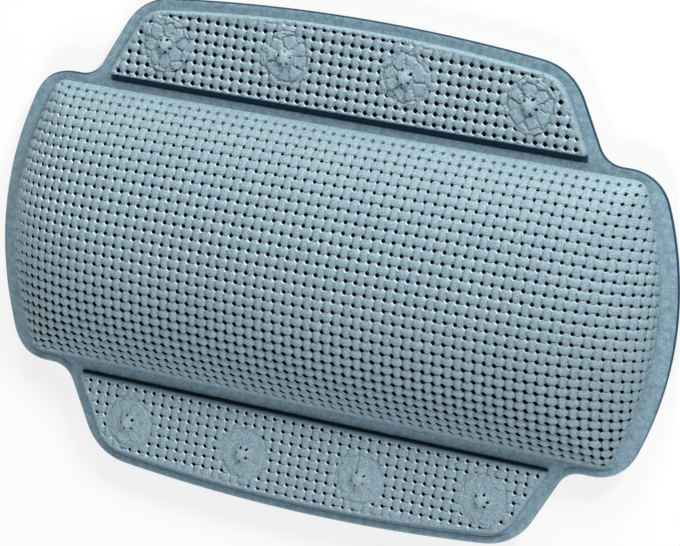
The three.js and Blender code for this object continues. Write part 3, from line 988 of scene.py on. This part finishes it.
def cup_profile():
    """Radius and height from the top of the hollow, round the rim and up to the head."""
    hollow_radius = CUP_RADIUS - CUP_RIM
    bell_top = CUP_HEIGHT - COLLAR_HEIGHT
    hollow_top = bell_top - CUP_WALL
    turns = np.linspace(0.0, math.pi / 2, HOLLOW_STEPS)
    hollow = [(hollow_radius * math.sin(t), hollow_top * math.cos(t)) for t in turns]
    lip = [(CUP_RADIUS + past, height) for past, height in CUP_LIP]
    turns = np.linspace(BELL_START, math.pi / 2, BELL_STEPS)
    bell_width, bell_rise = CUP_RADIUS - COLLAR_RADIUS, bell_top - BELL_FOOT
    bell = [(COLLAR_RADIUS + bell_width * math.cos(t), BELL_FOOT + bell_rise * math.sin(t)) for t in turns]
    collar = [
        (COLLAR_RADIUS, CUP_HEIGHT - COLLAR_BEVEL),
        (COLLAR_RADIUS - COLLAR_BEVEL, CUP_HEIGHT),
        (NECK_RADIUS, CUP_HEIGHT),
    ]
    head_z = weld_z + HEAD_CLEARANCE
    head_top = head_z + HEAD_THICKNESS
    head = [(NECK_RADIUS, head_z), (HEAD_RADIUS, head_z), (HEAD_RADIUS, head_top), (0.0, head_top)]
    return [*hollow, *lip, *bell, *collar, *head]


def make_cup(side, number, place, turn):
    profile = np.array(cup_profile())
    angle = np.linspace(0, 2 * math.pi, CUP_SECTORS, endpoint=False)
    x = place[0] + profile[:, :1] * np.cos(angle)
    y = fold_y + place[1] + profile[:, :1] * np.sin(angle)
    z = np.broadcast_to(profile[:, 1:], x.shape)
    points = np.stack([x, y, z], axis=-1).reshape(-1, 3)
    numbers = np.arange(x.size).reshape(x.shape)
    numbers[0] = numbers[0, 0]
    numbers[-1] = numbers[-1, 0]
    faces = [list(dict.fromkeys(face)) for face in ring_quads(numbers)]
    piece = make_object(f"{side}_suction_cup_{number}", points, faces)
    write_mesh(open_mesh(piece), piece.data)
    piece.data.set_sharp_from_angle(angle=math.radians(CUP_ANGLE))
    piece.data.transform(Matrix.Rotation(turn, 4, "Z"))
    return piece


# Materials


def new_material(name, roughness):
    material = bpy.data.materials.new(name)
    material.use_nodes = True
    shader = material.node_tree.nodes["Principled BSDF"]
    shader.inputs["Roughness"].default_value = roughness
    return material, material.node_tree, shader


def set_inputs(tree, node, values):
    """Gives a node's inputs their values, each a constant or what another node puts out."""
    for name, value in values.items():
        if isinstance(value, bpy.types.NodeSocket):
            tree.links.new(value, node.inputs[name])
        else:
            node.inputs[name].default_value = value


def add_node(tree, kind, values, **settings):
    node = tree.nodes.new(kind)
    for name, value in settings.items():
        setattr(node, name, value)
    set_inputs(tree, node, values)
    return node


def object_place(tree):
    return add_node(tree, "ShaderNodeTexCoord", {}).outputs["Object"]


def attribute(tree, name):
    """A value that the mesh carries on its points."""
    return add_node(tree, "ShaderNodeAttribute", {}, attribute_name=name).outputs["Fac"]


def noise(tree, place, scale, detail, rough=0.55):
    values = {"Vector": place, "Scale": scale, "Detail": detail, "Roughness": rough}
    return add_node(tree, "ShaderNodeTexNoise", values).outputs["Fac"]


def cells(tree, place, scale, **settings):
    """Distance from the middles of random cells."""
    values = {"Vector": place, "Scale": scale}
    return add_node(tree, "ShaderNodeTexVoronoi", values, **settings).outputs["Distance"]


def mix_colour(tree, share, first, second):
    values = {"Factor": share, "A": first, "B": second}
    return add_node(tree, "ShaderNodeMix", values, data_type="RGBA").outputs["Result"]


def ranged(tree, value, from_low, from_high, to_low, to_high):
    """A value carried over from one range to another, with soft ends."""
    values = {"Value": value, "From Min": from_low, "From Max": from_high}
    values.update({"To Min": to_low, "To Max": to_high})
    return add_node(tree, "ShaderNodeMapRange", values, interpolation_type="SMOOTHSTEP").outputs["Result"]


def bump(tree, height, strength, distance):
    """Directions of a surface with fine relief, its distance in millimetres."""
    values = {"Height": height, "Strength": strength, "Distance": distance * MM}
    return add_node(tree, "ShaderNodeBump", values).outputs["Normal"]


def srgb(red, green, blue):
    """Linear colour from the numbers a screen shows."""
    shares = (red / 255, green / 255, blue / 255)
    return *(s / 12.92 if s <= 0.04045 else ((s + 0.055) / 1.055) ** 2.4 for s in shares), 1.0


FOAM_DARK = (0.5, 0.6)  # depths between which painted shade darkens the foam
SHEET_DARK = (0.15, 0.8)  # the same of the sheets' painted shade


def foam_material():
    """Foamed vinyl: matte, faintly mottled, with painted shade in the holes and cracks of its weave and
    painted highlights on the lamp-facing rims of its holes and on its nubs.
    """
    material, tree, shader = new_material("foam_vinyl", 0.5)
    place = object_place(tree)
    mottle = noise(tree, place, scale=55.0, detail=4.0)
    low = mix_colour(tree, mottle, srgb(98, 123, 136), srgb(112, 137, 150))
    high = mix_colour(tree, mottle, srgb(140, 165, 177), srgb(156, 180, 191))
    grain = noise(tree, place, scale=1500.0, detail=3.0, rough=0.7)
    colour = mix_colour(tree, ranged(tree, grain, 0.34, 0.66, 0.0, 1.0), low, high)
    # Painted highlight on the lamp-facing rims of the holes and on the nubs
    painted_highlight_share = ranged(tree, attribute(tree, "wear"), 0.1, 0.9, 0.0, 0.9)
    colour = mix_colour(tree, painted_highlight_share, colour, srgb(218, 234, 240))
    # Painted shade by depth: the holes, cracks and the pad's inner wall go dark and lose their reflection
    depth = attribute(tree, "depth")
    looks = {
        "Base Color": mix_colour(tree, ranged(tree, depth, *FOAM_DARK, 0.0, 1.0), colour, srgb(8, 22, 32)),
        "Roughness": ranged(tree, grain, 0.3, 0.7, 0.4, 0.58),
        "Specular IOR Level": ranged(tree, depth, *FOAM_DARK, 0.35, 0.0),
        "Normal": bump(tree, grain, 0.5, 0.3),
    }
    set_inputs(tree, shader, looks)
    return material


def margin_material():
    """The same vinyl fused flat: denser, darker, a little glossy, with tiny pale bubbles, and painted shade
    along its crease and cut edge.
    """
    material, tree, shader = new_material("welded_vinyl", 0.4)
    place = object_place(tree)
    mottle = noise(tree, place, scale=320.0, detail=5.0, rough=0.65)
    mottle = ranged(tree, mottle, 0.3, 0.7, 0.0, 1.0)
    colour = mix_colour(tree, mottle, srgb(94, 124, 141), srgb(126, 154, 168))
    specks = ranged(tree, cells(tree, place, scale=1000.0), 0.16, 0.31, 0.5, 0.0)
    colour = mix_colour(tree, specks, colour, srgb(190, 208, 212))
    # Painted shade along the crease and the cut edge
    depth = attribute(tree, "depth")
    fine = noise(tree, place, scale=900.0, detail=4.0, rough=0.65)
    looks = {
        "Base Color": mix_colour(tree, ranged(tree, depth, *SHEET_DARK, 0.0, 1.0), colour, srgb(36, 66, 88)),
        "Roughness": ranged(tree, fine, 0.3, 0.7, 0.32, 0.52),
        "Specular IOR Level": ranged(tree, depth, *SHEET_DARK, 0.4, 0.05),
        "Normal": bump(tree, fine, 0.3, 0.3),
    }
    set_inputs(tree, shader, looks)
    return material


def back_material():
    """Smooth back sheet with a faint leathery pebble and painted shade along its cut edge."""
    material, tree, shader = new_material("back_vinyl", 0.45)
    place = object_place(tree)
    mottle = noise(tree, place, scale=40.0, detail=4.0)
    colour = mix_colour(tree, mottle, srgb(104, 138, 152), srgb(124, 156, 168))
    # Painted shade along the cut edge
    dark = ranged(tree, attribute(tree, "depth"), *SHEET_DARK, 0.0, 1.0)
    looks = {
        "Base Color": mix_colour(tree, dark, colour, srgb(12, 38, 58)),
        "Roughness": ranged(tree, mottle, 0.3, 0.7, 0.38, 0.52),
        "Normal": bump(tree, cells(tree, place, scale=900.0, feature="SMOOTH_F1"), 0.35, 0.12),
    }
    set_inputs(tree, shader, looks)
    return material


def cup_material():
    """Soft clear-grey vinyl that lets a little light through."""
    material, tree, shader = new_material("cup_vinyl", 0.22)
    place = object_place(tree)
    cloud = noise(tree, place, scale=120.0, detail=3.0)
    looks = {
        "Transmission Weight": 0.45,
        "IOR": 1.5,
        "Base Color": mix_colour(tree, cloud, srgb(186, 206, 212), srgb(208, 224, 228)),
        "Normal": bump(tree, noise(tree, place, scale=500.0, detail=2.0), 0.1, 0.1),
    }
    set_inputs(tree, shader, looks)
    return material


# Assembly

foam = foam_material()
margin = margin_material()
back = back_material()
soft_clear = cup_material()

bolster = make_bolster()
bolster.data.materials.append(foam)
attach(bolster, "bolster")
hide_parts("bolster_cover", "bolster_filling")

# Name, sign and turn of each flap, then its weave, the weave's shift, its bosses' crinkle and its crease
SIDES = (
    ("upper", 1, 0.0, UPPER_PAD_WEAVE, UPPER_PAD_SHIFT, 1.25, UPPER_CREASE),
    ("lower", -1, math.pi, LOWER_PAD_WEAVE, LOWER_PAD_SHIFT, 0.45, LOWER_CREASE),
)
generator = np.random.default_rng(7)
for side, sign, turn, kind, shift, crinkle, crease_place in SIDES:
    flap = f"{side}_flap"
    pad = make_pad(side, turn, kind, shift, crinkle, generator)
    pad.data.materials.append(foam)
    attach(pad, flap)
    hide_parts(f"{side}_flap_cover")
    front = make_front(side, sign, crease_place)
    front.data.materials.append(margin)
    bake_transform(front)
    rear = make_back(side, sign)
    rear.data.materials.append(back)
    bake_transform(rear)
    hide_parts("back_sheet", f"{side}_flap_backing")
    for k, place in enumerate(CUP_PLACES):
        number = k + 1 if sign > 0 else len(CUP_PLACES) - k
        cup = make_cup(side, number, place, turn)
        cup.data.materials.append(soft_clear)
        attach(cup, flap)
        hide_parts(f"{side}_cup_{number}")


# Stage, light and camera

WHITE = (1.0, 1.0, 1.0, 1.0)
FLOOR_HALF = 4000.0
FLOOR_WHITE = 0.75  # share of plain white in what the floor shows


def background_share(tree):
    """1 for rays that should see the plain white background."""
    rays = add_node(tree, "ShaderNodeLightPath", {}).outputs
    share = rays["Is Camera Ray"]
    for kind in ("Is Glossy Ray", "Is Transmission Ray"):
        share = add_node(tree, "ShaderNodeMath", {0: share, 1: rays[kind]}, operation="MAXIMUM").outputs[0]
    return share


def show_between(tree, share, first, second, output):
    """Shows a mix of two shaders."""
    both = add_node(tree, "ShaderNodeMixShader", {"Fac": share, 1: first.outputs[0], 2: second.outputs[0]})
    tree.links.new(both.outputs[0], tree.nodes[output].inputs["Surface"])


def make_world():
    world = bpy.data.worlds.new("studio")
    bpy.context.scene.world = world
    world.use_nodes = True
    tree = world.node_tree
    fill = tree.nodes["Background"]
    set_inputs(tree, fill, {"Color": (0.93, 0.97, 1.0, 1.0), "Strength": 0.03})
    white = add_node(tree, "ShaderNodeBackground", {"Color": WHITE, "Strength": 1.0})
    show_between(tree, background_share(tree), fill, white, "World Output")


def make_floor():
    points = [(x * FLOOR_HALF, y * FLOOR_HALF, 0.0) for x, y in ((-1, -1), (1, -1), (1, 1), (-1, 1))]
    floor = make_object("floor", points, [(0, 1, 2, 3)])
    material, tree, shader = new_material("pale_floor", 0.9)
    set_inputs(tree, shader, {"Base Color": (0.9, 0.9, 0.9, 1.0), "Specular IOR Level": 0.0})
    white = add_node(tree, "ShaderNodeEmission", {"Color": WHITE, "Strength": 1.0})
    values = {0: background_share(tree), 1: FLOOR_WHITE}
    share = add_node(tree, "ShaderNodeMath", values, operation="MULTIPLY").outputs[0]
    show_between(tree, share, shader, white, "Material Output")
    floor.data.materials.append(material)


def add_lamp(name, bearing, height, distance, size, power, colour=(1.0, 1.0, 1.0)):
    """Square lamp aimed at the pillow, by its bearing round Z and height in degrees, and metres."""
    lamp = place_object(name, bpy.data.lights.new(name, "AREA"))
    lamp.data.size = size
    lamp.data.energy = power
    lamp.data.color = colour
    a, e = math.radians(bearing), math.radians(height)
    away = Vector((math.cos(a) * math.cos(e), math.sin(a) * math.cos(e), math.sin(e)))
    lamp.location = Vector((0.0, 0.0, weld_z * MM)) + away * distance
    lamp.rotation_euler = away.to_track_quat("Z", "Y").to_euler()


# Camera as fitted to the photograph: its place, and the directions of its axes
CAMERA_PLACE = (543.8, 278.9, 1305.6)
CAMERA_RIGHT = (0.9098, 0.1095, -0.4003)
CAMERA_UP = (-0.1774, 0.9746, -0.1368)
CAMERA_BACK = (0.3752, 0.1955, 0.9061)
FOCAL_PIXELS = 3200
IMAGE_WIDTH = 680
SENSOR_WIDTH = 36.0
CLIP_RANGE = (0.05, 20.0)  # in metres


def make_camera():
    camera = place_object("camera", bpy.data.cameras.new("camera"))
    camera.data.sensor_width = SENSOR_WIDTH
    camera.data.lens = SENSOR_WIDTH * FOCAL_PIXELS / IMAGE_WIDTH
    axes = Matrix((CAMERA_RIGHT, CAMERA_UP, CAMERA_BACK)).transposed().to_4x4()
    camera.matrix_world = Matrix.Translation(Vector(CAMERA_PLACE) * MM) @ axes
    camera.data.clip_start, camera.data.clip_end = CLIP_RANGE
    bpy.context.scene.camera = camera


bpy.context.scene.view_settings.view_transform = "Standard"
make_world()
make_floor()
add_lamp("key", bearing=52, height=28, distance=1.6, size=0.35, power=20.5, colour=(1.0, 0.99, 0.96))
add_lamp("sheen", bearing=94, height=22, distance=1.6, size=0.6, power=22, colour=(1.0, 1.0, 0.94))
add_lamp("fill", bearing=275, height=38, distance=1.8, size=0.8, power=22.5)
make_camera()
